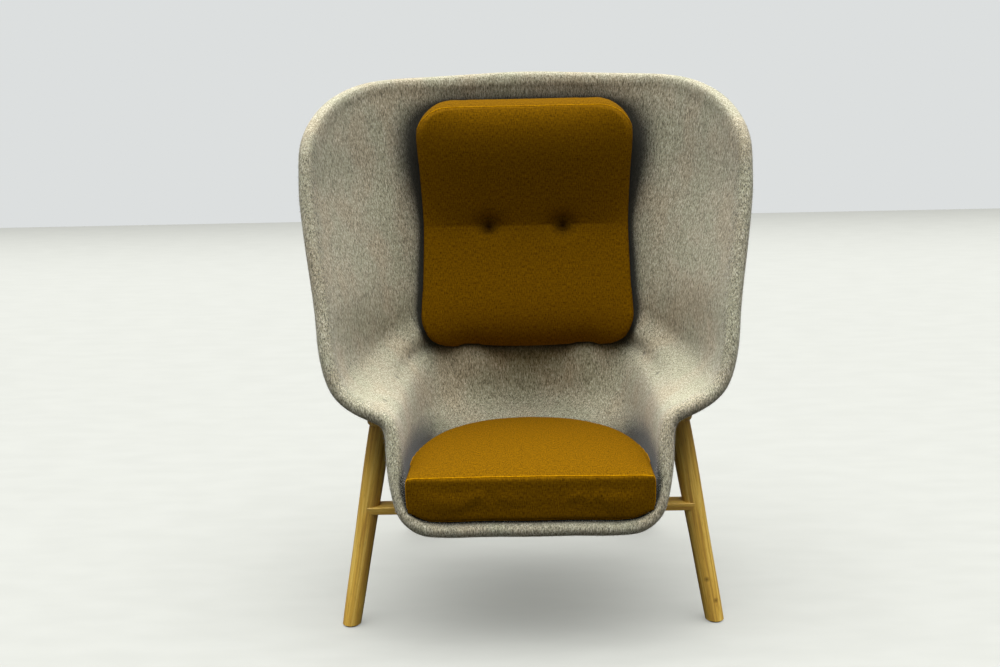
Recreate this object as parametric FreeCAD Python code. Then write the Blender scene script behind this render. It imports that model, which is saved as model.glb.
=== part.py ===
import FreeCAD, Part
import math
import os
from FreeCAD import Vector

# Acoustic high back lounge chair: a pressed felt bucket on an ash frame, with two loose cushions.
# Millimetres, +Z up, the front of the chair faces -Y, the origin is on the floor under the middle.

# Felt shell: the rim seen from the front, as the corners of its middle line.
# Each corner is (half width, height, corner radius, fullness of the bowl behind it).
# A fullness near 1 runs straight to the back, and a larger one keeps the wall deeper for longer.
WALL = 36.0
SEAT_FLOOR = (0.0, 291.0, 0.0, 2.8)
SEAT_CORNER = (294.0, 293.0, 80.0, 2.8)
ARM_NOTCH = (324.0, 527.0, 45.0, 3.0)
WING_FOOT = (457.0, 587.0, 110.0, 2.1)
WING_WAIST = (523.0, 1040.0, 600.0, 1.7)
WING_TOP = (520.0, 1275.0, 142.0, 1.5)
BACK_TOP = (0.0, 1288.0, 0.0, 1.5)
RIM_CORNERS = [SEAT_FLOOR, SEAT_CORNER, ARM_NOTCH, WING_FOOT, WING_WAIST, WING_TOP, BACK_TOP]
LIP_Y = -403.0
RIM_LEAN = 0.353
WRAP_POWER = 4.0
WRAP_START_Z = 560.0
WRAP_FULL_Z = 800.0
PAN_RISE = 16.0
PAN_RISE_RUN = 130.0

# Felt shell: the nearly flat field behind the back cushion.
BACK_Y = 229.0
BACK_FOOT_Z = 500.0
RECLINE = math.tan(math.radians(4.9))
FIELD_Z = 830.0
FIELD_HALF_WIDTH = 235.0
FIELD_HALF_HEIGHT = 345.0
SEAT_BOW = 140.0
ARM_BOW = 60.0
ARM_BOW_Z = 660.0

# Frame: turned legs, milled rails. A leg leans by its splay and rake for each millimetre of height.
FRONT_FOOT = (444.0, -275.0)
FRONT_SPLAY = -0.168
FRONT_RAKE = 0.22
REAR_FOOT = (322.0, 399.0)
REAR_SPLAY = -0.010
REAR_RAKE = -0.600
FOOT_RADIUS = 22.0
KNEE_RADIUS = 27.5
KNEE_Z = 385.0
LEG_HEAD_RADIUS = 26.0
LEG_TOP_Z = 484.0
TENON_RADIUS = 12.0
TENON_LENGTH = 24.0
GLIDE_THICKNESS = 4.0
GLIDE_RADIUS = 18.0
GLIDE_SCREW_RADIUS = 2.0
GLIDE_SCREW_LENGTH = 20.0
GLIDE_HEAD_RADIUS = 4.5
SIDE_RAIL_WIDTH = 56.0
SIDE_RAIL_TOP_Z = 545.0
SIDE_RAIL_FRONT_OVERHANG = 20.0
SIDE_RAIL_REAR_OVERHANG = 14.0
SIDE_RAIL_EDGE = 8.0
CROSS_RAIL_DEPTH = 52.0
CROSS_RAIL_THICKNESS = 18.5
FRONT_RAIL_TOP_Z = 287.0
REAR_RAIL_TOP_Z = 361.0
CROSS_TENON_RADIUS = 7.0
CROSS_TENON_LENGTH = 20.0
CROSS_TENON_ROOT = 12.0
CROSS_RAIL_EDGE = 3.0
FIT = 0.3

# Fastenings: cap screws through the rails into threaded inserts pressed into the felt.
SIDE_SCREW_Y = [-118.0, -32.0, 54.0]
FRONT_SCREW_X = [-150.0, 150.0]
REAR_SCREW_X = [-60.0, 60.0]
SCREW_RADIUS = 3.0
SCREW_HEAD_RADIUS = 6.5
SCREW_HEAD_HEIGHT = 6.0
SCREW_GRIP = 9.0
INSERT_RADIUS = 5.0
INSERT_LENGTH = 18.0
WASHER_RADIUS = 7.5
WASHER_THICKNESS = 1.5
SCREW_PLAY = 0.2
CONTACT_GAP = 0.05
SOCKET_RADIUS = 2.9
SOCKET_DEPTH = 3.5
INSERT_SET = 4.0

# Cushions.
SEAT_SHOULDER = 0.25
SEAT_SIDE_EASE = 3.0
SEAT_FRONT_BOW = 3.0
SEAT_CUSHION_SOFT = 9.0
STRIP_X = 120.0
STRIP_WIDTH = 30.0
STRIP_LOW_Z = 720.0
STRIP_HIGH_Z = 1140.0
TAPE_GAP = 0.1
TAPE_THICKNESS = 1.5
STRIP_SPACE = 3.3
COVER = 2.0
CUSHION_GAP = 0.8
SEAT_FRONT_Y = -412.0
SEAT_FRONT_TOP_Z = 421.0
SEAT_REAR_TOP_Z = 402.0
SEAT_REAR_Y = 148.0
SEAT_CROWN = 14.0
BACK_CUSHION_HALF_WIDTH = 285.0
BACK_CUSHION_LOW_Z = 585.0
BACK_CUSHION_HIGH_Z = 1246.0
BACK_CUSHION_CORNER = 96.0
BACK_CUSHION_EDGE = 42.0
BACK_CUSHION_CROWN = 46.0
BACK_CUSHION_SOFT = 16.0
BACK_CUSHION_WAIST = 8.0
TUFT_X = 95.0
TUFT_Z = 918.0
TUFT_DEPTH = 16.0
TUFT_WIDTH = 34.0
TUFT_HEIGHT = 24.0
CREASE_SHARE = 0.4
CREASE_SHARPNESS = 0.05
CREASE_REACH = 0.7


def lerp(a, b, t):
    return a + (b - a) * t


def smooth(t):
    t = min(max(t, 0.0), 1.0)
    return t * t * (3.0 - 2.0 * t)


def rounded_line(corners, longest_step=150.0, arc_step=30.0):
    """Stations along a line with rounded corners: points, with the corner's last value carried along."""
    stations = [(Vector(corners[0][0], 0, corners[0][1]), corners[0][3])]
    for before, here, after in zip(corners, corners[1:], corners[2:]):
        corner = Vector(here[0], 0, here[1])
        arriving = (corner - Vector(before[0], 0, before[1])).normalize()
        leaving = (Vector(after[0], 0, after[1]) - corner).normalize()
        turn = arriving.getAngle(leaving)
        reach = here[2] * math.tan(turn / 2.0)
        start = corner - arriving * reach
        last_point, last_value = stations[-1]
        straight = (start - last_point).Length
        pieces = max(1, math.ceil(straight / longest_step))
        for i in range(1, pieces + 1):
            share = i / pieces
            stations.append((last_point + (start - last_point) * share, lerp(last_value, here[3], share)))
        side = 1.0 if arriving.cross(leaving).y < 0.0 else -1.0
        normal = Vector(-arriving.z, 0, arriving.x) * side
        centre = start + normal * here[2]
        steps = max(2, math.ceil(math.degrees(turn) / arc_step))
        for i in range(1, steps + 1):
            angle = turn * i / steps
            on_arc = centre - normal * here[2] * math.cos(angle) + arriving * here[2] * math.sin(angle)
            stations.append((on_arc, here[3]))
    last_point, last_value = stations[-1]
    end = Vector(corners[-1][0], 0, corners[-1][1])
    pieces = max(1, math.ceil((end - last_point).Length / longest_step))
    for i in range(1, pieces + 1):
        share = i / pieces
        stations.append((last_point + (end - last_point) * share, lerp(last_value, corners[-1][3], share)))
    return stations


def wing_half_width(z):
    """Half the width between the wings at a height, on the line that the top corners round off."""
    slope = (WING_WAIST[0] - WING_FOOT[0]) / (WING_WAIST[1] - WING_FOOT[1])
    below = min(0.0, z - WING_WAIST[1]) * slope
    reach = WING_WAIST[2] * math.tan(math.atan(slope) / 2.0)
    rounding = max(0.0, reach - abs(z - WING_WAIST[1])) ** 2 / (2.0 * WING_WAIST[2])
    return WING_WAIST[0] + below - rounding


def lean_depth(z):
    """How far back the front edge stands: it leans back from the seat lip to the wing tips."""
    return LIP_Y + RIM_LEAN * (z - SEAT_FLOOR[1])


def wrap_depth(x, z):
    """The depth of the wrap-round back and wings: a deep curve in plan that reclines as a whole."""
    middle = BACK_Y + RECLINE * (z - BACK_FOOT_Z)
    return middle - (middle - lean_depth(z)) * (abs(x) / wing_half_width(z)) ** WRAP_POWER


def low_back_depth(x, z):
    """The depth of the lower back: bowed round the seat, and flatter at the height of the arms."""
    bow = lerp(SEAT_BOW, ARM_BOW, smooth((z - BACK_FOOT_Z) / (ARM_BOW_Z - BACK_FOOT_Z)))
    return BACK_Y + RECLINE * (z - BACK_FOOT_Z) - bow * (x / FIELD_HALF_WIDTH) ** 2


def shell_meridian(station, fullness):
    """Points of the shell's middle surface from the rim, down the wall and in to the middle of the back."""
    rim_y = lean_depth(station.z)
    out = Vector(station.x, 0, station.z - FIELD_Z)
    field_share = 1.0 / math.hypot(out.x / FIELD_HALF_WIDTH, out.z / FIELD_HALF_HEIGHT)
    low = 1.0 - smooth((station.z - SEAT_CORNER[1]) / SEAT_CORNER[2])
    path = []
    for i in range(PATH_SAMPLES + 1):
        angle = math.pi / 2.0 * i / PATH_SAMPLES
        along = math.sin(angle) ** (2.0 / fullness)
        inward = 1.0 - math.cos(angle) ** (2.0 / fullness)
        share = lerp(1.0, field_share, inward)
        x = out.x * share
        z = FIELD_Z + out.z * share
        foot = out * field_share
        back_y = low_back_depth(foot.x, FIELD_Z + foot.z)
        bowl_y = lerp(rim_y, back_y, along)
        rise = PAN_RISE * low * smooth((bowl_y - rim_y) / PAN_RISE_RUN) * (1.0 - inward)
        upper = smooth((z - WRAP_START_Z) / (WRAP_FULL_Z - WRAP_START_Z))
        path.append(Vector(x, lerp(bowl_y, wrap_depth(x, z), upper), z + rise))
    for i in range(1, PATH_SAMPLES + 1):
        share = field_share * lerp(1.0, CAP_SHARE, i / PATH_SAMPLES)
        x = out.x * share
        z = FIELD_Z + out.z * share
        upper = smooth((z - WRAP_START_Z) / (WRAP_FULL_Z - WRAP_START_Z))
        path.append(Vector(x, lerp(low_back_depth(x, z), wrap_depth(x, z), upper), z))
    return resample(path, RING_SHARES)


def resample(path, shares):
    """Points at given shares of a path's length."""
    lengths = [0.0]
    for a, b in zip(path, path[1:]):
        lengths.append(lengths[-1] + (b - a).Length)
    points = []
    i = 0
    for share in shares:
        target = share * lengths[-1]
        while i < len(path) - 2 and lengths[i + 1] < target:
            i += 1
        part = (target - lengths[i]) / (lengths[i + 1] - lengths[i])
        points.append(path[i] + (path[i + 1] - path[i]) * part)
    return points


PATH_SAMPLES = 40
CAP_SHARE = 0.2
RING_SHARES = [0.0, 0.05, 0.13, 0.22, 0.32, 0.42, 0.51, 0.59, 0.67, 0.75, 0.83, 0.91, 1.0]
RIM_STEPS = [60.0, 30.0, 0.0, -30.0, -60.0]


def skin(rings):
    """One smooth face through closed rings of points, each ring with as many points."""
    count = len(rings[0])
    around = [0.0]
    middle = rings[len(rings) // 3]
    for i in range(count):
        around.append(around[-1] + (middle[(i + 1) % count] - middle[i]).Length)
    around = [value / around[-1] for value in around]
    along = [0.0]
    for ring, following in zip(rings, rings[1:]):
        along.append(along[-1] + sum((b - a).Length for a, b in zip(ring, following)) / count)
    along = [value / along[-1] for value in along]
    poles = []
    for ring in rings:
        curve = Part.BSplineCurve()
        seam_slope = (ring[1] - ring[-1]) * (1.0 / (around[1] + 1.0 - around[-2]))
        curve.interpolate(Points=ring + ring[:1], Parameters=around, Scale=False,
                          InitialTangent=seam_slope, FinalTangent=seam_slope)
        poles.append(curve.getPoles())
    columns = []
    for column in zip(*poles):
        rail = Part.BSplineCurve()
        rail.interpolate(Points=list(column), Parameters=along)
        columns.append(rail.getPoles())
    surface = Part.BSplineSurface()
    surface.buildFromPolesMultsKnots(columns, curve.getMultiplicities(), rail.getMultiplicities(),
                                     curve.getKnots(), rail.getKnots(), False, False,
                                     curve.Degree, rail.Degree)
    return surface, around, along


def closed_solid(rings):
    """The solid inside a skin, with a flat cap on its first and its last ring."""
    face = skin(rings)[0].toShape()
    seams = [edge for edge in face.Edges if edge.isSeam(face)]
    ends = [edge for edge in face.Edges if not any(edge.isSame(seam) for seam in seams)]
    caps = [Part.Face(Part.Wire([edge])) for edge in ends]
    shell = Part.makeShell([face] + caps)
    shell.sewShape()
    solid = Part.Solid(shell)
    if solid.Volume < 0.0:
        solid.reverse()
    return solid


def cap_ring(ring, offset):
    """The last ring of the back, laid flat in the reclined plane so that a flat cap closes it."""
    lean = math.hypot(1.0, RECLINE)
    return [Vector(p.x, BACK_Y + RECLINE * (p.z - BACK_FOOT_Z) + offset * lean, p.z) for p in ring]


def shell_rings(growth):
    """Rings of the shell's inner face, round rim and outer face, with its wall grown on both sides."""
    half = rounded_line(RIM_CORNERS)
    mirrored = [(Vector(-p.x, p.y, p.z), fullness) for p, fullness in half[-2:0:-1]]
    meridians = [shell_meridian(point, fullness) for point, fullness in half + mirrored]
    middle_rings = [list(ring) for ring in zip(*meridians)]
    middle, around, along = skin(middle_rings)
    radius = WALL / 2.0 + growth
    inner, outer = [], []
    for ring, v in zip(middle_rings[:-1], along):
        normals = [middle.normal(u, v) for u in around[:-1]]
        inner.append([point + normal * radius for point, normal in zip(ring, normals)])
        outer.append([point - normal * radius for point, normal in zip(ring, normals)])
    inner.append(cap_ring(middle_rings[-1], -radius))
    outer.append(cap_ring(middle_rings[-1], radius))
    rim = []
    for degrees in RIM_STEPS:
        angle = math.radians(degrees)
        ring = []
        for point, behind, u in zip(middle_rings[0], middle_rings[1], around):
            normal = middle.normal(u, 0.0)
            forward = point - behind
            forward = (forward - normal * forward.dot(normal)).normalize()
            ring.append(point + (normal * math.sin(angle) + forward * math.cos(angle)) * radius)
        rim.append(ring)
    return inner, rim, outer


def felt_wall(growth=0.0):
    """The pressed shell: its middle surface thickened, with a round rim all the way round."""
    inner, rim, outer = shell_rings(growth)
    return closed_solid(inner[::-1] + rim + outer)


def felt_hollow(clearance):
    """The space inside the shell, short of its felt by a clearance, and open well past the rim."""
    inner, rim, outer = shell_rings(clearance)
    ahead = LIP_Y - WALL * 2.0
    round_edge = rim[:RIM_STEPS.index(0.0) + 1]
    mouth = [[Vector(p.x, lerp(p.y, ahead, share), p.z) for p in round_edge[-1]] for share in (0.34, 0.67, 1.0)]
    return closed_solid(inner[::-1] + round_edge + mouth)


def cylinder(radius, height, base, direction=Vector(0, 0, 1)):
    return Part.makeCylinder(radius, height, base, direction)


def box(x0, x1, y0, y1, z0, z1):
    return Part.makeBox(x1 - x0, y1 - y0, z1 - z0, Vector(x0, y0, z0))


def both_sides(shape):
    """A piece and its twin on the other side of the chair."""
    return Part.makeCompound([shape, shape.mirror(Vector(0, 0, 0), Vector(1, 0, 0))])


def leg_axis(foot, splay, rake, z):
    """The middle of a right-hand leg at a height."""
    return Vector(foot[0] + splay * z, foot[1] + rake * z, z)


def turned_leg(foot, splay, rake):
    """A right-hand leg: turned to swell at the knee, cut level at the floor, tenoned at its head."""
    base = leg_axis(foot, splay, rake, 0.0)
    direction = Vector(splay, rake, 1.0)
    slant = direction.Length
    profile = Part.BSplineCurve()
    profile.interpolate(Points=[Vector(FOOT_RADIUS - 1.5, 0, -40.0),
                                Vector(FOOT_RADIUS, 0, 0.0),
                                Vector(lerp(FOOT_RADIUS, KNEE_RADIUS, 0.42), 0, KNEE_Z * 0.5 * slant),
                                Vector(KNEE_RADIUS, 0, KNEE_Z * slant),
                                Vector(LEG_HEAD_RADIUS, 0, (LEG_TOP_Z + 40.0) * slant)])
    low, high = profile.StartPoint, profile.EndPoint
    edges = [profile.toShape(), Part.makeLine(high, Vector(0, 0, high.z)),
             Part.makeLine(Vector(0, 0, high.z), Vector(0, 0, low.z)),
             Part.makeLine(Vector(0, 0, low.z), low)]
    blank = Part.Face(Part.Wire(edges)).revolve(Vector(0, 0, 0), Vector(0, 0, 1), 360)
    blank.Placement = FreeCAD.Placement(base, FreeCAD.Rotation(Vector(0, 0, 1), direction))
    slab = box(0, 900, -700, 700, GLIDE_THICKNESS, LEG_TOP_Z)
    tenon = cylinder(TENON_RADIUS, (LEG_TOP_Z + TENON_LENGTH - KNEE_Z) * slant,
                     leg_axis(foot, splay, rake, KNEE_Z), direction)
    return blank.common(slab).fuse(tenon).removeSplitter()


def side_rail(cutter):
    """A right-hand side rail: milled under the arm of the shell, with a round nose, on both legs."""
    front = leg_axis(FRONT_FOOT, FRONT_SPLAY, FRONT_RAKE, LEG_TOP_Z)
    rear = leg_axis(REAR_FOOT, REAR_SPLAY, REAR_RAKE, LEG_TOP_Z)
    run = (rear - front).normalize()
    across = Vector(run.y, -run.x, 0) * (SIDE_RAIL_WIDTH / 2.0)
    nose = front - run * SIDE_RAIL_FRONT_OVERHANG
    tail = rear + run * SIDE_RAIL_REAR_OVERHANG
    reach = run * (SIDE_RAIL_WIDTH / 2.0)
    outline = [Part.makeLine(nose + across, tail + across),
               Part.Arc(tail + across, tail + reach, tail - across).toShape(),
               Part.makeLine(tail - across, nose - across),
               Part.Arc(nose - across, nose - reach, nose + across).toShape()]
    blank = Part.Face(Part.Wire(outline)).extrude(Vector(0, 0, SIDE_RAIL_TOP_Z - LEG_TOP_Z))
    lower = [edge for edge in blank.Edges if edge.BoundBox.ZMax < LEG_TOP_Z + 1.0]
    blank = blank.makeFillet(SIDE_RAIL_EDGE, lower)
    rail = blank.cut(cutter)
    for foot, splay, rake in ((FRONT_FOOT, FRONT_SPLAY, FRONT_RAKE), (REAR_FOOT, REAR_SPLAY, REAR_RAKE)):
        direction = Vector(splay, rake, 1.0)
        start = leg_axis(foot, splay, rake, KNEE_Z)
        length = (LEG_TOP_Z + TENON_LENGTH - KNEE_Z) * direction.Length + FIT
        rail = rail.cut(cylinder(TENON_RADIUS + FIT, length, start, direction))
    return rail


def cross_rail(foot, splay, rake, top_z, cutter, legs):
    """A cross rail: a flat board with eased edges, shouldered on both legs, with a round tenon in each."""
    middle = leg_axis(foot, splay, rake, top_z - CROSS_RAIL_THICKNESS / 2.0)
    board = box(-middle.x, middle.x, middle.y - CROSS_RAIL_DEPTH / 2.0, middle.y + CROSS_RAIL_DEPTH / 2.0,
                top_z - CROSS_RAIL_THICKNESS, top_z)
    long_edges = [edge for edge in board.Edges if edge.Length > middle.x]
    board = board.makeFillet(CROSS_RAIL_EDGE, long_edges).cut(cutter)
    board = max(board.cut(legs).Solids, key=lambda solid: solid.Volume)
    return board.fuse(cross_tenons(middle, 0.0)).removeSplitter()


def cross_tenons(middle, growth):
    """The round tenons of a cross rail, or with a growth the mortises that take them."""
    shoulder = middle.x - KNEE_RADIUS - CROSS_TENON_ROOT
    length = CROSS_TENON_ROOT + CROSS_TENON_LENGTH + growth
    start = Vector(shoulder, middle.y, middle.z)
    return both_sides(cylinder(CROSS_TENON_RADIUS + growth, length, start, Vector(1, 0, 0)))


def underside(wall, x, y):
    """The height of the shell's underside above a point of the floor."""
    return min(vertex.Z for vertex in wall.common(Part.makeLine(Vector(x, y, 0), Vector(x, y, 800))).Vertexes)


def lowest_underside(wall, x, y):
    """The lowest point of the felt over a washer, where the underside slopes."""
    turns = [math.radians(45 * i) for i in range(8)]
    reach = WASHER_RADIUS + SCREW_PLAY
    return min(underside(wall, x + reach * math.cos(turn), y + reach * math.sin(turn)) for turn in turns)


def screw_places(wall):
    """Where each screw meets the felt: on the side rails, then on the front and rear cross rails."""
    front = leg_axis(FRONT_FOOT, FRONT_SPLAY, FRONT_RAKE, LEG_TOP_Z)
    rear = leg_axis(REAR_FOOT, REAR_SPLAY, REAR_RAKE, LEG_TOP_Z)
    places = []
    for y in SIDE_SCREW_Y:
        x = lerp(front.x, rear.x, (y - front.y) / (rear.y - front.y))
        places += [(x, y), (-x, y)]
    front_rail = leg_axis(FRONT_FOOT, FRONT_SPLAY, FRONT_RAKE, FRONT_RAIL_TOP_Z - CROSS_RAIL_THICKNESS / 2.0)
    places += [(x, front_rail.y) for x in FRONT_SCREW_X]
    rear_rail = leg_axis(REAR_FOOT, REAR_SPLAY, REAR_RAKE, REAR_RAIL_TOP_Z - CROSS_RAIL_THICKNESS / 2.0)
    places += [(x, rear_rail.y) for x in REAR_SCREW_X]
    return [(Vector(x, y, underside(wall, x, y)), lowest_underside(wall, x, y) - SCREW_GRIP) for x, y in places]


def screw_group(places):
    """The screws, their washers and inserts, and the holes that they need in the felt and in the rails."""
    screws, washers, inserts, felt_holes, rail_holes = [], [], [], [], []
    for place, seat_z in places:
        seat = Vector(place.x, place.y, seat_z)
        washer_top = seat - Vector(0, 0, CONTACT_GAP)
        head_base = washer_top - Vector(0, 0, WASHER_THICKNESS + SCREW_HEAD_HEIGHT + CONTACT_GAP)
        head = cylinder(SCREW_HEAD_RADIUS, SCREW_HEAD_HEIGHT, head_base)
        corners = [head_base + Vector(SOCKET_RADIUS * math.cos(math.radians(60 * i)),
                                      SOCKET_RADIUS * math.sin(math.radians(60 * i)), 0) for i in range(6)]
        socket = Part.Face(Part.makePolygon(corners + corners[:1])).extrude(Vector(0, 0, SOCKET_DEPTH))
        insert_base = place + Vector(0, 0, INSERT_SET)
        insert_top = insert_base + Vector(0, 0, INSERT_LENGTH)
        shank = cylinder(SCREW_RADIUS, (insert_top - head_base).z - SCREW_HEAD_HEIGHT - FIT,
                         head_base + Vector(0, 0, SCREW_HEAD_HEIGHT))
        screws.append(head.cut(socket).fuse(shank).removeSplitter())
        washer_base = washer_top - Vector(0, 0, WASHER_THICKNESS)
        bore = cylinder(SCREW_RADIUS + SCREW_PLAY, 80.0, washer_base - Vector(0, 0, 1.0))
        washers.append(cylinder(WASHER_RADIUS, WASHER_THICKNESS, washer_base).cut(bore))
        inserts.append(cylinder(INSERT_RADIUS, INSERT_LENGTH, insert_base).cut(bore))
        felt_holes.append(cylinder(INSERT_RADIUS, INSERT_LENGTH + INSERT_SET + 10.0, place - Vector(0, 0, 10.0)))
        counterbore = cylinder(WASHER_RADIUS + SCREW_PLAY, 120.0, seat - Vector(0, 0, 120.0))
        rail_holes += [counterbore, cylinder(SCREW_RADIUS + SCREW_PLAY, 60.0, seat)]
    return screws, washers, inserts, felt_holes, rail_holes


def foot_glides(foot):
    """A pair of glides under a pair of legs, each with its screw, and the pilot holes for the screws."""
    base = Vector(foot[0], foot[1], 0)
    disc = cylinder(GLIDE_RADIUS, GLIDE_THICKNESS, base)
    disc = disc.makeFillet(GLIDE_THICKNESS / 4.0, [edge for edge in disc.Edges if edge.Length > GLIDE_RADIUS])
    recess = cylinder(GLIDE_HEAD_RADIUS + CONTACT_GAP, GLIDE_THICKNESS / 2.0 + CONTACT_GAP, base)
    pilot = cylinder(GLIDE_SCREW_RADIUS + CONTACT_GAP, GLIDE_THICKNESS + GLIDE_SCREW_LENGTH, base)
    head = cylinder(GLIDE_HEAD_RADIUS, GLIDE_THICKNESS / 4.0, base + Vector(0, 0, GLIDE_THICKNESS / 4.0))
    shank = cylinder(GLIDE_SCREW_RADIUS, GLIDE_THICKNESS / 2.0 + GLIDE_SCREW_LENGTH,
                     base + Vector(0, 0, GLIDE_THICKNESS / 2.0))
    return disc.cut(recess).cut(pilot), head.fuse(shank).removeSplitter(), pilot


def seat_outline(inset):
    """The seat cushion in plan: nearly straight in front, with half an ellipse behind its shoulders."""
    half_width = SEAT_CORNER[0] - SEAT_SIDE_EASE - inset
    front = SEAT_FRONT_Y + inset
    rear = SEAT_REAR_Y - inset
    shoulder = lerp(front, rear, SEAT_SHOULDER)
    ellipse = Part.Ellipse(Vector(0, rear, 0), Vector(half_width, shoulder, 0), Vector(0, shoulder, 0))
    back = Part.ArcOfEllipse(ellipse, -math.pi / 2.0, math.pi / 2.0).toShape()
    bow = Part.Arc(Vector(-half_width, front, 0), Vector(0, front - SEAT_FRONT_BOW, 0),
                   Vector(half_width, front, 0)).toShape()
    sides = [Part.makeLine(Vector(x, front, 0), Vector(x, shoulder, 0)) for x in (-half_width, half_width)]
    return Part.Wire(Part.__sortEdges__([bow, sides[1], back, sides[0]]))


def grid_face(columns):
    """A smooth face through a grid of points."""
    surface = Part.BSplineSurface()
    surface.interpolate(columns)
    return surface.toShape()


def steps(low, high, count):
    return [lerp(low, high, i / (count - 1)) for i in range(count)]


def seat_cushion(inset):
    """The seat cushion, or its foam with an inset: crowned on top, moulded to the felt below it."""
    half_width = SEAT_CORNER[0] - SEAT_SIDE_EASE
    rows = []
    for x in steps(-1.2 * half_width, 1.2 * half_width, 13):
        row = []
        for y in steps(SEAT_FRONT_Y - 50.0, SEAT_REAR_Y + 60.0, 13):
            share = (y - SEAT_FRONT_Y) / (SEAT_REAR_Y - SEAT_FRONT_Y)
            dome = max(0.0, 1.0 - (x / half_width) ** 2) * max(0.0, 4.0 * share * (1.0 - share))
            row.append(Vector(x, y, lerp(SEAT_FRONT_TOP_Z, SEAT_REAR_TOP_Z, share) + SEAT_CROWN * dome - inset))
        rows.append(row)
    under_top = grid_face(rows).extrude(Vector(0, 0, -200.0))
    block = Part.Face(seat_outline(inset)).extrude(Vector(0, 0, 600.0))
    cushion = block.common(under_top)
    top_edges = [edge for edge in cushion.Edges if edge.CenterOfMass.z > SEAT_REAR_TOP_Z - 12.0]
    cushion = cushion.makeFillet(SEAT_CUSHION_SOFT - inset, top_edges)
    return cushion.common(felt_hollow(CUSHION_GAP + inset))


def back_front(x, z):
    """The front of the back cushion: two soft halves that meet in a crease, pulled in by two tufts."""
    across = min(1.0, abs(x) / BACK_CUSHION_HALF_WIDTH)
    half_height = (BACK_CUSHION_HIGH_Z - BACK_CUSHION_LOW_Z) / 2.0
    up = min(1.0, abs(z - TUFT_Z) / half_height)
    fold = (math.hypot(up, CREASE_SHARPNESS) - CREASE_SHARPNESS) / CREASE_REACH
    swell = 1.0 - CREASE_SHARE * (1.0 - smooth_limit(fold))
    crown = BACK_CUSHION_CROWN * (1.0 - across ** 4) * (1.0 - up ** 6)
    tufts = sum(TUFT_DEPTH * math.exp(-((x - side * TUFT_X) / TUFT_WIDTH) ** 2 - ((z - TUFT_Z) / TUFT_HEIGHT) ** 2)
                for side in (-1.0, 1.0))
    return wrap_depth(x, z) - WALL / 2.0 - (BACK_CUSHION_EDGE + crown) * swell + tufts


def smooth_limit(value):
    """A value that follows its input, and levels off gently at one."""
    return value / (1.0 + value ** 6) ** (1.0 / 6.0)


def back_outline(inset):
    """The back cushion from the front: round corners, and sides drawn in at the crease."""
    half = BACK_CUSHION_HALF_WIDTH - inset
    waist = half - BACK_CUSHION_WAIST
    low, high = BACK_CUSHION_LOW_Z + inset, BACK_CUSHION_HIGH_Z - inset
    corner = BACK_CUSHION_CORNER - inset
    cut = corner * (1.0 - math.sqrt(0.5))
    edges = []
    for side in (1.0, -1.0):
        edges.append(Part.Arc(Vector(side * half, 0, low + corner), Vector(side * waist, 0, TUFT_Z),
                              Vector(side * half, 0, high - corner)).toShape())
        for end, inward in ((low, 1.0), (high, -1.0)):
            edges.append(Part.Arc(Vector(side * half, 0, end + inward * corner),
                                  Vector(side * (half - cut), 0, end + inward * cut),
                                  Vector(side * (half - corner), 0, end)).toShape())
    for end in (low, high):
        edges.append(Part.makeLine(Vector(corner - half, 0, end), Vector(half - corner, 0, end)))
    return Part.Wire(Part.__sortEdges__(edges))


def back_cushion(inset):
    """The back cushion, or its foam with an inset: softly edged, and moulded to the felt behind it."""
    columns = []
    for x in steps(-330.0, 330.0, 45):
        columns.append([Vector(x, back_front(x, z) + inset, z)
                        for z in steps(BACK_CUSHION_LOW_Z - 40.0, BACK_CUSHION_HIGH_Z + 40.0, 41)])
    behind_front = grid_face(columns).extrude(Vector(0, 400.0, 0))
    block = Part.Face(back_outline(inset)).extrude(Vector(0, 600.0, 0))
    block.translate(Vector(0, -200.0, 0))
    cushion = block.common(behind_front)
    front_edges = [edge for edge in cushion.Edges if edge.BoundBox.YMax < BACK_Y + 10.0]
    cushion = cushion.makeFillet(BACK_CUSHION_SOFT - inset, front_edges)
    return cushion.common(felt_hollow(STRIP_SPACE + inset))


def back_strips(nearest, furthest):
    """A pair of tapes that follow the felt behind the back cushion, between two distances from it."""
    bands = []
    for side in (-1.0, 1.0):
        middle = side * STRIP_X
        bands.append(box(middle - STRIP_WIDTH / 2.0, middle + STRIP_WIDTH / 2.0, 100.0, 400.0,
                         STRIP_LOW_Z, STRIP_HIGH_Z))
    near, far = felt_hollow(nearest), felt_hollow(furthest)
    return Part.makeCompound([band.common(near).cut(far) for band in bands])


def write(node, shape):
    solids = shape.Solids
    group = solids[0] if len(solids) == 1 else Part.makeCompound(solids)
    group.exportStep(os.path.join("parts", node + ".step"))
    print(node, len(solids), round(sum(solid.Volume for solid in solids) / 1000.0, 2), "cm3",
          all(solid.isValid() for solid in solids))


os.makedirs("parts", exist_ok=True)

plain_wall = felt_wall()
cutter = felt_wall(FIT)
places = screw_places(plain_wall)
screws, washers, inserts, felt_holes, rail_holes = screw_group(places)
write("felt_shell", plain_wall.cut(Part.makeCompound(felt_holes)))
write("shell_screws", Part.makeCompound(screws))
write("shell_washers", Part.makeCompound(washers))
write("shell_inserts", Part.makeCompound(inserts))

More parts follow.
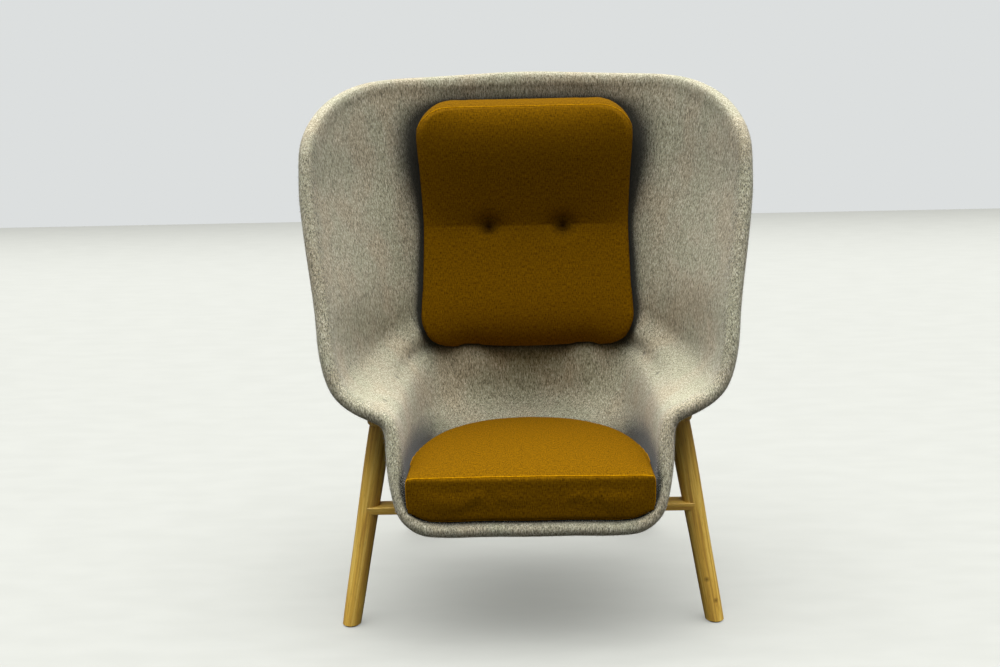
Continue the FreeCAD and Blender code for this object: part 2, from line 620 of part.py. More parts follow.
rail_cuts = Part.makeCompound(rail_holes)
for name, foot, splay, rake, top_z in (("front", FRONT_FOOT, FRONT_SPLAY, FRONT_RAKE, FRONT_RAIL_TOP_Z),
                                       ("rear", REAR_FOOT, REAR_SPLAY, REAR_RAKE, REAR_RAIL_TOP_Z)):
    leg = turned_leg(foot, splay, rake).cut(cutter)
    rail = cross_rail(foot, splay, rake, top_z, cutter, both_sides(leg)).cut(rail_cuts)
    write(name + "_cross_rail", rail)
    disc, screw, pilot = foot_glides(foot)
    middle = leg_axis(foot, splay, rake, top_z - CROSS_RAIL_THICKNESS / 2.0)
    leg = leg.cut(cross_tenons(middle, FIT)).cut(pilot)
    left, right = both_sides(leg).Solids[::-1]
    write(name + "_leg_right", right)
    write(name + "_leg_left", left)
    write(name + "_glides", both_sides(disc))
    write(name + "_glide_screws", both_sides(screw))

rail = side_rail(cutter).cut(rail_cuts)
left, right = both_sides(rail).Solids[::-1]
write("side_rail_right", right)
write("side_rail_left", left)

seat_foam = seat_cushion(COVER)
write("seat_cushion_foam", seat_foam)
write("seat_cushion_cover", seat_cushion(0.0).cut(seat_foam))
back_foam = back_cushion(COVER)
write("back_cushion_foam", back_foam)
write("back_cushion_cover", back_cushion(0.0).cut(back_foam))
write("shell_hook_tapes", back_strips(TAPE_GAP, TAPE_GAP + TAPE_THICKNESS))
write("back_cushion_loop_tapes", back_strips(STRIP_SPACE - TAPE_GAP - TAPE_THICKNESS, STRIP_SPACE - TAPE_GAP))
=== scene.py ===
import math

import bpy
from mathutils import Matrix, Vector
from mathutils.bvhtree import BVHTree


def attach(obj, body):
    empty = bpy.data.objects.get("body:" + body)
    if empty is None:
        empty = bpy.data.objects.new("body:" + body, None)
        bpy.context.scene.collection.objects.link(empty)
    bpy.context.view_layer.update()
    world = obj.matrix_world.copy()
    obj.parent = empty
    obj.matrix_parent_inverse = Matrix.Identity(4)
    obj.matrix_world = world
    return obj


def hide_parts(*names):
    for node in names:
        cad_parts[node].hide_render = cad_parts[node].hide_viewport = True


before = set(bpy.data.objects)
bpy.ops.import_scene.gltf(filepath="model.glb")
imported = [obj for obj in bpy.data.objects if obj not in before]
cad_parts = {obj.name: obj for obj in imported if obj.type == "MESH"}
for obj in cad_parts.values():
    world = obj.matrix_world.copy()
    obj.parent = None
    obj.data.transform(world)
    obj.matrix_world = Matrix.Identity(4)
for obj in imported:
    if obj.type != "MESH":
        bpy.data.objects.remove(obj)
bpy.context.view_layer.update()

scene = bpy.context.scene
scene.view_settings.view_transform = "Standard"

# The photographer's view: eye height, a little over three metres in front of the chair,
# looking down on it and a shade to the left.
EYE = Vector((0.001, -3.2685, 1.404))
LOOK_DOWN = math.radians(12.78)
TURN_LEFT = math.radians(1.25)
ROLL = math.radians(-1.29)
LENS = 47.495
camera = bpy.data.objects.new("camera", bpy.data.cameras.new("camera"))
camera.data.lens = LENS
camera.data.sensor_width = 36.0
upright = Matrix.Rotation(TURN_LEFT, 4, "Z") @ Matrix.Rotation(math.pi / 2.0 - LOOK_DOWN, 4, "X")
camera.matrix_world = Matrix.Translation(EYE) @ upright @ Matrix.Rotation(ROLL, 4, "Z")
scene.collection.objects.link(camera)
scene.camera = camera

# The room: a plain pale floor, a wide soft ceiling light over the chair, and pale walls all
# round, which look bright but give only a weak fill, so that the light falls from above.
FLOOR_SIZE = 14.0
WALL_GLOW = 0.80
WALL_FILL = 0.10
FLOOR_GLOW = 0.33
CEILING_HEIGHT = 3.1
CEILING_SIZE = 14.0
CEILING_SPREAD = math.radians(92.0)
CEILING_WATTS = 1500.0
TIMES_AND_PLUS = ("ShaderNodeMath", {"operation": "MULTIPLY_ADD"})
NEW_RANGE = ("ShaderNodeMapRange", {"clamp": True})
BLEND = ("ShaderNodeMix", {"data_type": "RGBA"})
RAMP = ("ShaderNodeValToRGB", {})


def colour(hex_value):
    """An sRGB colour, such as A0B0C0, as linear red, green, blue and alpha."""
    parts = [int(hex_value[i:i + 2], 16) / 255.0 for i in (0, 2, 4)]
    return tuple(p / 12.92 if p <= 0.04045 else ((p + 0.055) / 1.055) ** 2.4 for p in parts) + (1.0,)


def add_node(tree, kind, settings=None, inputs=None, stops=()):
    """A node with its settings, its inputs as values or as other nodes' outputs, and for a
    colour ramp its stops, each a place and a hex colour."""
    made = tree.nodes.new(kind)
    for name, value in (settings or {}).items():
        setattr(made, name, value)
    for name, value in (inputs or {}).items():
        if isinstance(value, bpy.types.NodeSocket):
            tree.links.new(value, made.inputs[name])
        else:
            made.inputs[name].default_value = value
    for i, (place, hex_value) in enumerate(stops):
        points = made.color_ramp.elements
        point = points[i] if i < 2 else points.new(place)
        point.position = place
        point.color = colour(hex_value)
    return made


def new_material(name, roughness, specular=0.5):
    """An empty material: itself, its node tree and its shader."""
    material = bpy.data.materials.new(name)
    material.use_nodes = True
    shader = material.node_tree.nodes["Principled BSDF"]
    shader.inputs["Roughness"].default_value = roughness
    shader.inputs["Specular IOR Level"].default_value = specular
    return material, material.node_tree, shader


def grain(tree, coordinates, size_mm, detail=3.0, distortion=0.0):
    """Noise whose grains measure so many millimetres along X, Y and Z."""
    stretch = add_node(tree, "ShaderNodeMapping", inputs={
        "Vector": coordinates, "Scale": tuple(1000.0 / size for size in size_mm)})
    made = add_node(tree, "ShaderNodeTexNoise", inputs={
        "Vector": stretch.outputs["Vector"], "Scale": 1.0, "Detail": detail, "Distortion": distortion})
    return made.outputs["Fac"]


floor_mesh = bpy.data.meshes.new("floor")
half = FLOOR_SIZE / 2.0
floor_mesh.from_pydata([(-half, -half, 0), (half, -half, 0), (half, half, 0), (-half, half, 0)], [],
    [(0, 1, 2, 3)])
floor = bpy.data.objects.new("floor", floor_mesh)
scene.collection.objects.link(floor)
floor_paint, tree, shader = new_material("matt floor paint", 0.8, 0.2)
mottle = grain(tree, add_node(tree, "ShaderNodeTexCoord").outputs["Object"], (180, 60, 60))
paint = add_node(tree, *RAMP, {0: mottle}, [(0.35, "7F807C"), (0.65, "838480")]).outputs[0]
seen = add_node(tree, "ShaderNodeLightPath").outputs["Is Camera Ray"]
tree.links.new(add_node(tree, *BLEND, {0: seen, 6: colour("444441"), 7: paint}).outputs[2],
    shader.inputs["Base Color"])
shader.inputs["Emission Color"].default_value = colour("F2F4EC")
tree.links.new(add_node(tree, *NEW_RANGE, {0: seen, 1: 0.0, 2: 1.0, 3: 0.0,
    4: FLOOR_GLOW}).outputs[0], shader.inputs["Emission Strength"])
floor_mesh.materials.append(floor_paint)

world = bpy.data.worlds.new("room")
scene.world = world
world.use_nodes = True
tree = world.node_tree
seen = add_node(tree, "ShaderNodeLightPath").outputs["Is Camera Ray"]
walls = tree.nodes["Background"]
walls.inputs["Color"].default_value = colour("F3F6F6")
tree.links.new(add_node(tree, *NEW_RANGE, {0: seen, 1: 0.0, 2: 1.0, 3: WALL_FILL,
    4: WALL_GLOW}).outputs[0], walls.inputs["Strength"])

ceiling = bpy.data.lights.new("ceiling light", "AREA")
ceiling.shape = "SQUARE"
ceiling.size = CEILING_SIZE
ceiling.spread = CEILING_SPREAD
ceiling.energy = CEILING_WATTS
lamp = bpy.data.objects.new("ceiling light", ceiling)
lamp.matrix_world = Matrix.Translation((0.0, 0.0, CEILING_HEIGHT))
lamp.visible_camera = False
scene.collection.objects.link(lamp)

# The bucket: pressed wool felt of grey and beige fibres, 36 mm thick, moulded in one piece with
# a round edge. The fibres lie in short upright streaks, with dark flecks that crowd along the front
# of the edge, partly the felt's own and partly painted shade on that forward-facing lip. The felt
# puckers a little where the arms were pressed, and painted shade darkens the puckers and crevices.
FELT_STREAK_MM = (2.8, 2.8, 12.0)
FELT_FIBRE_MM = (1.7, 1.7, 5.5)
FELT_FLECK_MM = (3.0, 3.0, 6.0)
FELT_CLOUD_MM = (95.0, 95.0, 130.0)
RIM_FOOT_Y = -0.403
RIM_FOOT_Z = 0.291
RIM_LEAN = 0.353
PUCKERS = [(-0.3431, -0.231, 0.5557), (-0.3321, -0.0383, 0.5619), (-0.3111, 0.0826, 0.5841),
           (0.3259, -0.0306, 0.5583), (0.3042, 0.0952, 0.5801)]
PUCKER_SIZE = 0.009
CREVICE_SHADE_REACH = 0.085


def marks(tree, coordinates, places, size):
    """One near each of a few places on a surface, and nought away from them."""
    total = 0.0
    for place in places:
        far = add_node(tree, "ShaderNodeVectorMath", {"operation": "DISTANCE"}, {0: coordinates, 1: place})
        near = add_node(tree, *NEW_RANGE, {0: far.outputs["Value"], 1: size, 2: 0.0, 3: 0.0,
            4: 1.0}).outputs[0]
        total = add_node(tree, "ShaderNodeMath", {"operation": "MAXIMUM"}, {0: near, 1: total}).outputs[0]
    return total


felt, tree, shader = new_material("pressed wool felt", 0.95, 0.15)
here = add_node(tree, "ShaderNodeTexCoord").outputs["Object"]
fibres = add_node(tree, *TIMES_AND_PLUS, {0: grain(tree, here, FELT_FIBRE_MM, 2.0), 1: 0.75,
    2: grain(tree, here, FELT_STREAK_MM, 4.0, 0.5)}).outputs[0]
fibres = add_node(tree, *TIMES_AND_PLUS, {0: fibres, 1: 0.5714, 2: 0.0}).outputs[0]
base = add_node(tree, *RAMP, {0: fibres}, [(0.36, "5A5543"), (0.46, "9C9782"), (0.55, "BFBAA4"),
    (0.66, "EAE6D6")]).outputs[0]
clouds = grain(tree, here, FELT_CLOUD_MM, 2.0)
tint = add_node(tree, *RAMP, {0: clouds}, [(0.38, "EEF1EA"), (0.5, "F4F3EE"), (0.62, "F4EEE6")]).outputs[0]
base = add_node(tree, "ShaderNodeMix", {"data_type": "RGBA", "blend_type": "MULTIPLY"}, {
    0: 1.0, 6: base, 7: tint}).outputs[2]
# Dark flecks crowd on the forward-facing front of the rim: partly the felt's own flecks, partly painted shade that
# darkens that lip.
ahead = add_node(tree, "ShaderNodeVectorMath", {"operation": "DOT_PRODUCT"},
    {0: here, 1: (0.0, 1.0, -RIM_LEAN)})
rim_y = RIM_FOOT_Y - RIM_LEAN * RIM_FOOT_Z
on_rim = add_node(tree, *NEW_RANGE, {0: ahead.outputs["Value"], 1: rim_y + 0.035, 2: rim_y + 0.005,
    3: 0.0, 4: 1.0}).outputs[0]
flecks = grain(tree, here, FELT_FLECK_MM, 2.0)
lip_shade_fleck_level = add_node(tree, *TIMES_AND_PLUS, {0: on_rim, 1: -0.10, 2: 0.66}).outputs[0]
fleck_and_lip_shade = add_node(tree, "ShaderNodeMath", {"operation": "SUBTRACT"},
    {0: flecks, 1: lip_shade_fleck_level}).outputs[0]
share = add_node(tree, *NEW_RANGE, {0: fleck_and_lip_shade, 1: 0.0, 2: 0.10, 3: 0.0, 4: 0.62}).outputs[0]
base = add_node(tree, *BLEND, {0: share, 6: base, 7: colour("4A4B40")}).outputs[2]
# Painted shade: the felt is darkened round each pucker, standing in for the shade in its fold; the same mark also
# dents the nap.
pucker_dent_and_shade = marks(tree, here, PUCKERS, PUCKER_SIZE)
share = add_node(tree, *NEW_RANGE, {0: pucker_dent_and_shade, 1: 0.0, 2: 0.8, 3: 0.0, 4: 0.55}).outputs[0]
base = add_node(tree, *BLEND, {0: share, 6: base, 7: colour("3C392F")}).outputs[2]
# Painted shade: the felt is darkened wherever nearby surfaces hide it, as in the corners beside the back cushion
# and under the seat cushion.
crevice_shade = add_node(tree, "ShaderNodeAmbientOcclusion", {"samples": 8}, {"Distance": CREVICE_SHADE_REACH})
share = add_node(tree, *NEW_RANGE, {0: crevice_shade.outputs["AO"], 1: 0.62, 2: 0.91, 3: 0.97, 4: 0.0}).outputs[0]
base = add_node(tree, *BLEND, {0: share, 6: base, 7: colour("1A1A12")}).outputs[2]
tree.links.new(base, shader.inputs["Base Color"])
nap = add_node(tree, *TIMES_AND_PLUS, {0: pucker_dent_and_shade, 1: -1.5, 2: fibres}).outputs[0]
nap = add_node(tree, "ShaderNodeBump", inputs={"Height": nap, "Strength": 0.8, "Distance": 0.0016})
tree.links.new(nap.outputs["Normal"], shader.inputs["Normal"])
shader.inputs["Sheen Weight"].default_value = 0.15
shader.inputs["Sheen Roughness"].default_value = 0.6
felt_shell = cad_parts["felt_shell"]
felt_shell.data.materials[0] = felt

# The fuzz of the edge: loose ends of wool that stand off the round rim, a few millimetres long.
# They are scattered over the front half of the rim, each a thin cone at its own slant.
FUZZ_PER_SQUARE_METRE = 52000.0
FUZZ_LENGTH = 0.0065
FUZZ_RADIUS = 0.00026
fuzz_tree = bpy.data.node_groups.new("rim fuzz", "GeometryNodeTree")
fuzz_tree.interface.new_socket("Geometry", in_out="OUTPUT", socket_type="NodeSocketGeometry")
fuzz_tree.interface.new_socket("Geometry", in_out="INPUT", socket_type="NodeSocketGeometry")
inputs = {}
for name, kind in (("Density", "Float"), ("Length", "Float"), ("Radius", "Float"), ("Seed", "Int")):
    made = fuzz_tree.interface.new_socket(name, in_out="INPUT", socket_type="NodeSocket" + kind)
    inputs[name] = made.identifier
given = add_node(fuzz_tree, "NodeGroupInput").outputs
ahead = add_node(fuzz_tree, "ShaderNodeVectorMath", {"operation": "DOT_PRODUCT"}, {
    0: add_node(fuzz_tree, "GeometryNodeInputPosition").outputs[0], 1: (0.0, 1.0, -RIM_LEAN)})
on_rim = add_node(fuzz_tree, "FunctionNodeCompare", {"operation": "LESS_THAN"}, {
    "A": ahead.outputs["Value"], "B": rim_y + 0.006})
spots = add_node(fuzz_tree, "GeometryNodeDistributePointsOnFaces", inputs={
    "Mesh": given["Geometry"], "Selection": on_rim.outputs[0], "Density": given["Density"], "Seed": given["Seed"]})
slant = add_node(fuzz_tree, "FunctionNodeRandomValue", {"data_type": "FLOAT_VECTOR"}, {
    "Min": (-0.9, -0.9, -0.9), "Max": (0.9, 0.9, 0.9), "Seed": given["Seed"]})
lean = add_node(fuzz_tree, "ShaderNodeVectorMath", {"operation": "ADD"}, {
    0: spots.outputs["Normal"], 1: slant.outputs[0]})
turn = add_node(fuzz_tree, "FunctionNodeAlignRotationToVector", {"axis": "Z"}, {"Vector": lean.outputs[0]})
hair = add_node(fuzz_tree, "GeometryNodeMeshCone", {"fill_type": "NONE"}, {
    "Vertices": 3, "Radius Top": 0.0, "Radius Bottom": given["Radius"], "Depth": given["Length"]})
size = add_node(fuzz_tree, "FunctionNodeRandomValue", {"data_type": "FLOAT"}, {
    "Min": 0.4, "Max": 1.0, "Seed": given["Seed"]})
hairs = add_node(fuzz_tree, "GeometryNodeInstanceOnPoints", inputs={
    "Points": spots.outputs["Points"], "Instance": hair.outputs["Mesh"], "Rotation": turn.outputs[0],
    "Scale": size.outputs[1]})
real = add_node(fuzz_tree, "GeometryNodeRealizeInstances", inputs={"Geometry": hairs.outputs[0]})
wool_end, tree, shader = new_material("loose wool fibre", 0.9, 0.2)
tone = grain(tree, add_node(tree, "ShaderNodeTexCoord").outputs["Object"], (4.0, 4.0, 4.0))
tree.links.new(add_node(tree, *RAMP, {0: tone}, [(0.4, "9B978A"), (0.6, "DAD8CC")]).outputs[0],
    shader.inputs["Base Color"])
shader.inputs["Sheen Weight"].default_value = 0.2
painted = add_node(fuzz_tree, "GeometryNodeSetMaterial", inputs={
    "Geometry": real.outputs[0], "Material": wool_end})
add_node(fuzz_tree, "NodeGroupOutput", inputs={"Geometry": painted.outputs[0]})
grower = bpy.data.objects.new("fuzz grower", felt_shell.data.copy())
scene.collection.objects.link(grower)
growth = grower.modifiers.new("fuzz", "NODES")
growth.node_group = fuzz_tree
for name, value in (("Density", FUZZ_PER_SQUARE_METRE), ("Length", FUZZ_LENGTH),
                    ("Radius", FUZZ_RADIUS), ("Seed", 7)):
    growth[inputs[name]] = value
bpy.context.view_layer.update()
grown = grower.evaluated_get(bpy.context.evaluated_depsgraph_get())
fuzz = bpy.data.objects.new("rim_fuzz", bpy.data.meshes.new_from_object(grown))
scene.collection.objects.link(fuzz)
bpy.data.objects.remove(grower)
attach(fuzz, "chair")

# The legs and rails: turned and milled light oak with a clear matt lacquer. The grain runs along
# each piece, in pale and golden bands with thin darker pores, and the right front leg has two knots.
OAK_RING_MM = 8.0
OAK_GRAIN_LENGTH_MM = 240.0
KNOTS = {"front_leg_right": [(0.4236, -0.2758, 0.1053), (0.4449, -0.2847, 0.0544)]}
KNOT_SIZE = 0.008
OAK_LINES = {
    "front_leg_right": (-0.168, 0.22, 1.0), "front_leg_left": (0.168, 0.22, 1.0),
    "rear_leg_right": (-0.010, -0.600, 1.0), "rear_leg_left": (0.010, -0.600, 1.0),
    "front_cross_rail": (1.0, 0.0, 0.0), "rear_cross_rail": (1.0, 0.0, 0.0),
    "side_rail_left": (0.14, 1.0, 0.0), "side_rail_right": (-0.14, 1.0, 0.0)}


def oak(node_name, direction):
    """Light oak whose grain runs along a direction."""
    material, tree, shader = new_material("lacquered oak " + node_name.replace("_", " "), 0.42, 0.4)
    place = add_node(tree, "ShaderNodeTexCoord").outputs["Object"]
    turn = Vector(direction).rotation_difference(Vector((0, 0, 1))).to_euler()
    along = add_node(tree, "ShaderNodeMapping", inputs={
        "Vector": place, "Rotation": tuple(turn)}).outputs["Vector"]
    rings = grain(tree, along, (OAK_RING_MM, OAK_RING_MM, OAK_GRAIN_LENGTH_MM), 3.0, 0.9)
    pores = grain(tree, along, (1.1, 1.1, 20.0), 2.0)
    base = add_node(tree, *RAMP, {0: rings},
        [(0.34, "B98C3A"), (0.5, "D6AB46"), (0.66, "E8C562")]).outputs[0]
    share = add_node(tree, *NEW_RANGE, {0: pores, 1: 0.58, 2: 0.72, 3: 0.0, 4: 0.5}).outputs[0]
    base = add_node(tree, *BLEND, {0: share, 6: base, 7: colour("7A5420")}).outputs[2]
    knot = marks(tree, place, KNOTS.get(node_name, []), KNOT_SIZE)
    share = add_node(tree, *TIMES_AND_PLUS, {0: knot, 1: 0.85, 2: 0.0}).outputs[0]
    base = add_node(tree, *BLEND, {0: share, 6: base, 7: colour("5C3A12")}).outputs[2]
    tree.links.new(base, shader.inputs["Base Color"])
    bump = add_node(tree, "ShaderNodeBump", inputs={"Height": pores, "Strength": 0.15, "Distance": 0.0004})
    tree.links.new(bump.outputs["Normal"], shader.inputs["Normal"])
    shader.inputs["Coat Weight"].default_value = 0.08
    return material


for node_name, direction in OAK_LINES.items():
    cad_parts[node_name].data.materials[0] = oak(node_name, direction)

# The screws, washers and inserts: zinc plated steel and plain brass, seen only from below.
# The glides under the feet are moulded nylon.
METALS = {"shell_screws": ("zinc plated steel", "B9BCBE"),
    "shell_washers": ("zinc plated washer", "B9BCBE"),
          "front_glide_screws": ("zinc plated glide screw", "A9ACAE"),
          "rear_glide_screws": ("zinc plated rear glide screw", "A9ACAE"),
          "shell_inserts": ("turned brass", "C9A65A")}
for node_name, (name, hex_value) in METALS.items():
    metal, tree, shader = new_material(name, 0.35)
    spots = grain(tree, add_node(tree, "ShaderNodeTexCoord").outputs["Object"], (3.0, 3.0, 3.0))
    share = add_node(tree, *NEW_RANGE, {0: spots, 1: 0.4, 2: 0.7, 3: 0.0, 4: 0.25}).outputs[0]
    base = add_node(tree, *BLEND, {0: share, 6: colour(hex_value), 7: colour("8A8C8C")}).outputs[2]
    tree.links.new(base, shader.inputs["Base Color"])
    shader.inputs["Metallic"].default_value = 1.0
    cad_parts[node_name].data.materials[0] = metal
nylon, tree, shader = new_material("moulded nylon", 0.5)
scuffs = grain(tree, add_node(tree, "ShaderNodeTexCoord").outputs["Object"], (6.0, 6.0, 6.0))
tree.links.new(add_node(tree, *RAMP, {0: scuffs}, [(0.4, "242423"), (0.7, "3A3A38")]).outputs[0],
    shader.inputs["Base Color"])
for node_name in ("front_glides", "rear_glides"):
    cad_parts[node_name].data.materials[0] = nylon
tape, tree, shader = new_material("woven hook tape", 0.9, 0.2)
hooks = grain(tree, add_node(tree, "ShaderNodeTexCoord").outputs["Object"], (1.2, 1.2, 1.2), 1.0)
tree.links.new(add_node(tree, *RAMP, {0: hooks}, [(0.4, "6E6B5C"), (0.6, "979380")]).outputs[0],
    shader.inputs["Base Color"])
for node_name in ("shell_hook_tapes", "back_cushion_loop_tapes"):
    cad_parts[node_name].data.materials[0] = tape

# The cushions: foam in covers of ochre wool, woven plain from uneven yarns.
# Each cover is the foam's own shape, swelled by its stuffing and drawn in along its seams.
VOXEL = 0.0062
SWELL_LIMIT = 0.003
YARN_MM = (13.0, 2.3, 13.0)
CROSS_YARN_MM = (2.6, 8.0, 8.0)
CLOTH_STOPS = [(0.36, "482E00"), (0.47, "654500"), (0.55, "714E00"), (0.66, "835C00")]
# The piping's cloth is painted lighter than the cushions' cloth: a painted highlight where the cord catches the
# light.
PIPING_HIGHLIGHT_STOPS = [(0.36, "8A5C00"), (0.5, "A87600"), (0.66, "BE8A00")]
DIMPLE_SHADE_REACH = 0.044


def wool_cloth(name, coordinates, stops, shaded_dimples=()):
    """Ochre wool cloth: long uneven yarns one way and shorter ones across, with painted shade darkening it round
    the dimples where it is drawn in.
    """
    material, tree, shader = new_material(name, 0.95, 0.04)
    kind, output = coordinates
    laid = add_node(tree, kind, {"uv_map": "cloth"} if kind == "ShaderNodeUVMap" else None).outputs[output]
    yarns = add_node(tree, *TIMES_AND_PLUS,
        {0: grain(tree, laid, YARN_MM, 2.0), 1: 0.55, 2: grain(tree, laid, CROSS_YARN_MM, 2.0)}).outputs[0]
    yarns = add_node(tree, *TIMES_AND_PLUS,
        {0: grain(tree, laid, (2.6, 2.6, 2.6), 1.0), 1: 0.3, 2: yarns}).outputs[0]
    yarns = add_node(tree, *TIMES_AND_PLUS, {0: yarns, 1: 0.5405, 2: 0.0}).outputs[0]
    base = add_node(tree, *RAMP, {0: yarns}, stops).outputs[0]
    if shaded_dimples:
        here = add_node(tree, "ShaderNodeTexCoord").outputs["Object"]
        # Painted shade: the cloth is darkened round each tuft's dimple, standing in for the shade in the dimple.
        drawn = marks(tree, here, shaded_dimples, DIMPLE_SHADE_REACH)
        drawn = add_node(tree, "ShaderNodeMath", {"operation": "POWER"}, {0: drawn, 1: 1.6}).outputs[0]
        base = add_node(tree, *BLEND, {0: drawn, 6: base, 7: colour("140600")}).outputs[2]
    tree.links.new(base, shader.inputs["Base Color"])
    bump = add_node(tree, "ShaderNodeBump", inputs={"Height": yarns, "Strength": 0.55, "Distance": 0.0009})
    tree.links.new(bump.outputs["Normal"], shader.inputs["Normal"])
    shader.inputs["Sheen Weight"].default_value = 0.03
    shader.inputs["Sheen Roughness"].default_value = 0.5
    shader.inputs["Sheen Tint"].default_value = colour("E0A000")
    return material


def lay_cloth(piece):
    """Lays the cloth's own map over a piece: each face is measured in metres on its flattest side."""
    mesh = piece.data
    layer = mesh.uv_layers.new(name="cloth")
    for face in mesh.polygons:
        flat = max(range(3), key=lambda axis: abs(face.normal[axis]))
        across, up = ((1, 2), (0, 2), (0, 1))[flat]
        for loop in face.loop_indices:
            point = mesh.vertices[mesh.loops[loop].vertex_index].co
            layer.data[loop].uv = (point[across], point[up])


def apply_modifier(piece, kind, **settings):
    """Adds a modifier with its settings and applies it."""
    made = piece.modifiers.new(kind.lower(), kind)
    for name, value in settings.items():
        setattr(made, name, value)
    bpy.context.view_layer.objects.active = piece
    bpy.ops.object.modifier_apply(modifier=made.name)


def stuffed(name, foam_node, easing):
    """A cushion swelled from its foam: remeshed evenly, blown up a little as cloth, and smoothed."""
    piece = bpy.data.objects.new(name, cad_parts[foam_node].data.copy())
    scene.collection.objects.link(piece)
    apply_modifier(piece, "REMESH", mode="VOXEL", voxel_size=VOXEL)
    before = [vertex.co.copy() for vertex in piece.data.vertices]
    cloth = piece.modifiers.new("stuffing", "CLOTH")
    cloth.settings.use_pressure = True
    cloth.settings.uniform_pressure_force = 4.0
    cloth.settings.effector_weights.gravity = 0.0
    cloth.point_cache.frame_start = 1
    cloth.point_cache.frame_end = 20
    for step in range(1, 21):
        scene.frame_set(step)
    swelled = piece.evaluated_get(bpy.context.evaluated_depsgraph_get())
    after = [vertex.co.copy() for vertex in swelled.data.vertices]
    piece.modifiers.clear()
    scene.frame_set(1)
    for vertex, start, end in zip(piece.data.vertices, before, after):
        travel = end - start
        if travel.length > SWELL_LIMIT:
            travel = travel.normalized() * SWELL_LIMIT
        vertex.co = start + travel
    apply_modifier(piece, "SMOOTH", factor=0.5, iterations=easing)
    apply_modifier(piece, "SUBSURF", levels=1, render_levels=1)
    piece.data.polygons.foreach_set("use_smooth", [True] * len(piece.data.polygons))
    piece.data.materials.clear()
    return piece


def surface_of(piece):
    return BVHTree.FromPolygons([vertex.co for vertex in piece.data.vertices],
                                [face.vertices for face in piece.data.polygons])


def piping(name, path, radius, body, closed=True):
    """A sewn edge: a thin cord of the same cloth along a line on a cushion, painted lighter as a highlight where
    the cord catches the light.
    """
    line = bpy.data.curves.new(name, "CURVE")
    line.dimensions = "3D"
    line.bevel_depth = radius
    line.bevel_resolution = 2
    spline = line.splines.new("POLY")
    spline.points.add(len(path) - 1)
    for point, place in zip(spline.points, path):
        point.co = (*place, 1.0)
    spline.use_cyclic_u = closed
    drawn = bpy.data.objects.new(name + " line", line)
    scene.collection.objects.link(drawn)
    bpy.context.view_layer.update()
    cord = bpy.data.objects.new(name, bpy.data.meshes.new_from_object(drawn))
    bpy.data.objects.remove(drawn)
    scene.collection.objects.link(cord)
    cord.data.polygons.foreach_set("use_smooth", [True] * len(cord.data.polygons))
    cord.data.materials.append(wool_cloth("ochre wool " + name.replace("_", " "),
                                          ("ShaderNodeTexCoord", "Object"), PIPING_HIGHLIGHT_STOPS))
    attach(cord, body)
    return cord


# The seat cushion: a thick D with a flat front panel, piped round the panel and round the top.
SEAT_FRONT_Y = -0.412
SEAT_REAR_Y = 0.148
SEAT_HALF_WIDTH = 0.291
SEAT_SHOULDER_Y = -0.272
SEAT_PIPING = 0.0017
seat = stuffed("seat_cushion", "seat_cushion_foam", 4)
lay_cloth(seat)
seat.data.materials.append(wool_cloth("ochre wool seat cushion", ("ShaderNodeUVMap", "UV"), CLOTH_STOPS))
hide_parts("seat_cushion_cover", "seat_cushion_foam")
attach(seat, "seat_cushion")
cloth_surface = surface_of(seat)
middle = Vector((0.0, SEAT_FRONT_Y + 0.009, 0.365))
panel_edge = []
for i in range(360):
    angle = math.tau * i / 360.0
    outward = Vector((math.cos(angle), 0.0, math.sin(angle)))
    hit = cloth_surface.ray_cast(middle + outward * 0.5, -outward)
    if hit[0] is not None:
        panel_edge.append(hit[0])
piping("seat_panel_piping", panel_edge, SEAT_PIPING, "seat_cushion")
top_edge = []
for i in range(181):
    angle = math.pi * i / 180.0
    x = (SEAT_HALF_WIDTH - 0.006) * math.cos(angle)
    y = SEAT_SHOULDER_Y + (SEAT_REAR_Y - 0.006 - SEAT_SHOULDER_Y) * math.sin(angle)
    hit = cloth_surface.ray_cast(Vector((x, y, 0.6)), Vector((0, 0, -1)))
    if hit[0] is not None:
        top_edge.append(hit[0])
piping("seat_top_piping", top_edge, SEAT_PIPING, "seat_cushion", closed=False)

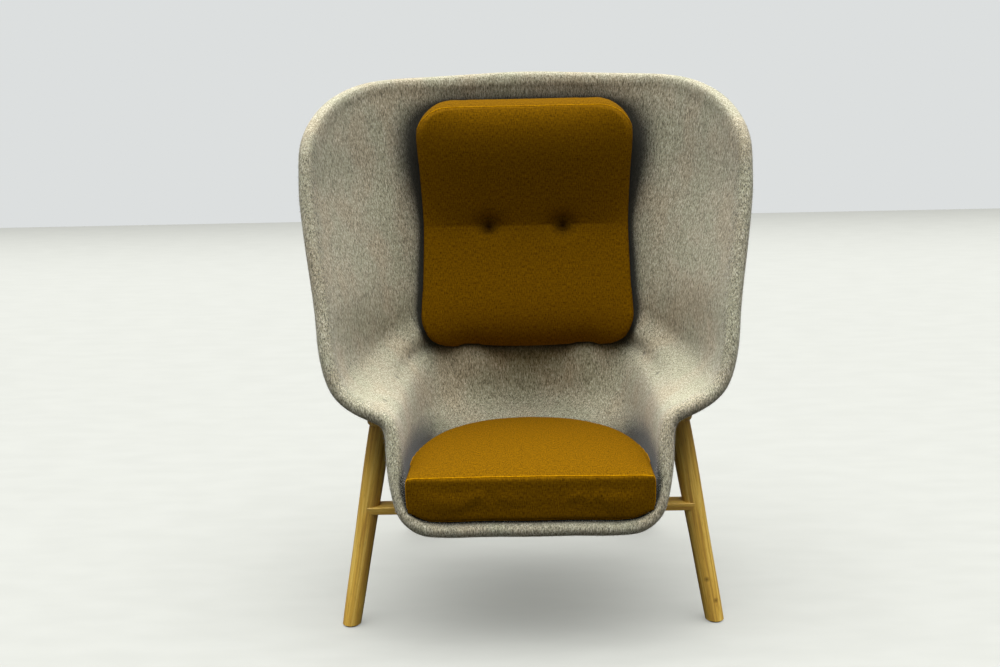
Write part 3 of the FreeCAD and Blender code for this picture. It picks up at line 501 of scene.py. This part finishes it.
# The back cushion: two soft halves that meet in a crease, with two tufts sewn through the crease
# and a piped edge all round. The tufts pull short folds sideways and a faint one upwards.
TUFT_X = 0.095
TUFT_Z = 0.918
TUFT_RADIUS = 0.014
TUFT_PULL = 0.012
PULL_HALF_WIDTH = 0.034
PULL_DEPTH = 0.0035
CREASE_DEPTH = 0.001
HEAD_LEAN = 0.15
BACK_SPREAD = 0.030
BACK_DROP = 0.015
BACK_HALF_WIDTH = 0.285
BACK_LOW_Z = 0.585
BACK_HIGH_Z = 1.246
BACK_CORNER = 0.096
BACK_PIPING = 0.0015
PIPING_INSET = 0.009
WAIST = 0.008
back = stuffed("back_cushion", "back_cushion_foam", 14)
deep = BVHTree.FromObject(felt_shell, bpy.context.evaluated_depsgraph_get())
for vertex in back.data.vertices:
    x, y, z = vertex.co
    above = z - TUFT_Z
    behind = deep.ray_cast(Vector((x, -1.0, z)), Vector((0, 1, 0)))[0].y
    free = min(1.0, max(0.0, (behind - y - 0.010) / 0.04))
    y -= HEAD_LEAN * free * max(0.0, above)
    loose = min(1.0, max(0.0, (behind - y) / 0.11))
    vertex.co = (x * (1.0 + BACK_SPREAD * free), y, z - BACK_DROP * loose)
    if free < 0.9:
        continue
    edge = max(0.0, 1.0 - (abs(x) / BACK_HALF_WIDTH) ** 6)
    pull = CREASE_DEPTH * math.exp(-abs(above) / 0.014) * edge
    for side in (-1.0, 1.0):
        beside = x - side * TUFT_X
        pull += TUFT_PULL * math.exp(-(beside / TUFT_RADIUS) ** 2 - (above / TUFT_RADIUS) ** 2)
        pull += PULL_DEPTH * math.exp(-(beside / PULL_HALF_WIDTH) ** 2 - (above / 0.005) ** 2)
        upward = math.exp(-(beside / 0.010) ** 2) * max(0.0, 1.0 - abs(above - 0.03) / 0.04)
        pull += PULL_DEPTH * 0.6 * upward
    vertex.co.y = y + pull
lay_cloth(back)
cloth_surface = surface_of(back)
tufts = [cloth_surface.ray_cast(Vector((side * TUFT_X * (1.0 + BACK_SPREAD), -0.5,
    TUFT_Z - BACK_DROP + 0.004)),
                                Vector((0, 1, 0)))[0] for side in (-1.0, 1.0)]
# The tufts' places darken the cloth round them as painted shade.
back.data.materials.append(wool_cloth("ochre wool back cushion", ("ShaderNodeUVMap", "UV"), CLOTH_STOPS,
                                      [tuple(place) for place in tufts]))
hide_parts("back_cushion_cover", "back_cushion_foam")
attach(back, "chair")
run_x = BACK_HALF_WIDTH - BACK_CORNER
run_low = BACK_LOW_Z + BACK_CORNER
run_high = BACK_HIGH_Z - BACK_CORNER
reach = BACK_CORNER - PIPING_INSET
back_edge = []
for corner_x, corner_z, first in ((run_x, run_high, 0.0), (-run_x, run_high, 90.0),
                                  (-run_x, run_low, 180.0), (run_x, run_low, 270.0)):
    for i in range(25):
        angle = math.radians(first + 90.0 * i / 24.0)
        back_edge.append((corner_x + reach * math.cos(angle), corner_z + reach * math.sin(angle)))
finer = []
for start, end in zip(back_edge, back_edge[1:] + back_edge[:1]):
    gap = math.dist(start, end)
    pieces = max(1, math.ceil(gap / 0.008))
    for i in range(pieces):
        share = i / pieces
        finer.append((start[0] + (end[0] - start[0]) * share, start[1] + (end[1] - start[1]) * share))
back_line = []
for x, z in finer:
    x = (x - math.copysign(WAIST * max(0.0, 1.0 - abs(z - TUFT_Z) / 0.25), x)) * (1.0 + BACK_SPREAD)
    hit = cloth_surface.ray_cast(Vector((x, -0.5, z - BACK_DROP)), Vector((0, 1, 0)))
    if hit[0] is not None:
        back_line.append(hit[0])
piping("back_piping", back_line, BACK_PIPING, "chair")

bpy.context.view_layer.update()
